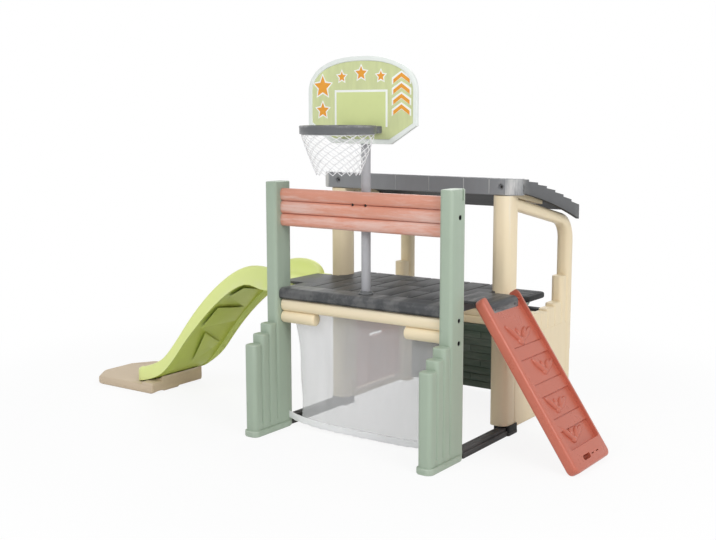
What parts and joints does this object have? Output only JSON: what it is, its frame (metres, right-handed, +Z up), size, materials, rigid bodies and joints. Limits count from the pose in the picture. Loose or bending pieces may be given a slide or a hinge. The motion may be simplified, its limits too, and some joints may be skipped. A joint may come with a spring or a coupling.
{
  "type": "playhouse with slide",
  "caption": "Children's play structure: a goal front with a net, a raised deck, a roofed house with a half door, a slide, a climbing ramp and a basketball hoop.",
  "frame": {"origin": "on the floor, below the middle of the overall box", "axes": "+Z up, +X from the slide to the climbing ramp, -Y to the goal front and +Y to the house"},
  "size_m": [2.9572, 1.69, 1.757],
  "materials": {
    "sage_green": "satin moulded plastic",
    "terracotta": "satin moulded plastic",
    "cream": "satin moulded plastic",
    "dark_grey": "matt moulded plastic",
    "dark_green": "matt moulded plastic",
    "lime_green": "satin moulded plastic",
    "sand": "matt moulded plastic",
    "light_grey_tube": "satin paint",
    "board_print": "printed plastic",
    "white_net": "fine white net",
    "screw_steel": "dark zinc"
  },
  "bodies": {
    "structure": {"backboard": "board_print", "base_rail_left": "dark_grey", "base_rail_right": "dark_grey", "board_strap": "dark_grey", "climbing_ramp": "terracotta", "counter_bracket_left": "sage_green", "counter_bracket_right": "sage_green", "counter_top": "dark_grey", "deck": "dark_grey", "goal_crossbar": "cream", "goal_net": "white_net", "hoop_net": "white_net", "hoop_ring": "dark_grey", "house_wall_left": "cream", "house_wall_right": "cream", "net_hem": "white_net", "panel_screw_left_1": "screw_steel", "panel_screw_left_2": "screw_steel", "panel_screw_left_3": "screw_steel", "panel_screw_right_1": "screw_steel", "panel_screw_right_2": "screw_steel", "panel_screw_right_3": "screw_steel", "pole_clamp": "dark_grey", "pole_foot": "dark_grey", "pole_lower": "light_grey_tube", "pole_upper": "light_grey_tube", "rail_screw_left": "screw_steel", "rail_screw_right": "screw_steel", "rear_beam": "cream", "rear_cap": "dark_grey", "rear_siding": "dark_green", "roof_fascia": "dark_grey", "roof_screw_left": "screw_steel", "roof_screw_right": "screw_steel", "roof_sheet": "dark_grey", "roof_side_left": "dark_grey", "roof_side_right": "dark_grey", "side_panel_left": "sage_green", "side_panel_right": "sage_green", "slide_base": "sand", "slide_chute": "lime_green", "top_rail": "terracotta"},
    "door": {"half_door": "terracotta", "door_pin_lower": "light_grey_tube", "door_pin_upper": "light_grey_tube"}
  },
  "joints": [
    {"name": "door_hinge", "type": "hinge", "parent": "structure", "child": "door", "pos_m": [-0.0236, 0.514, 0.3], "axis": [0, 0, -1], "range_deg": [0, 90]}
  ]
}
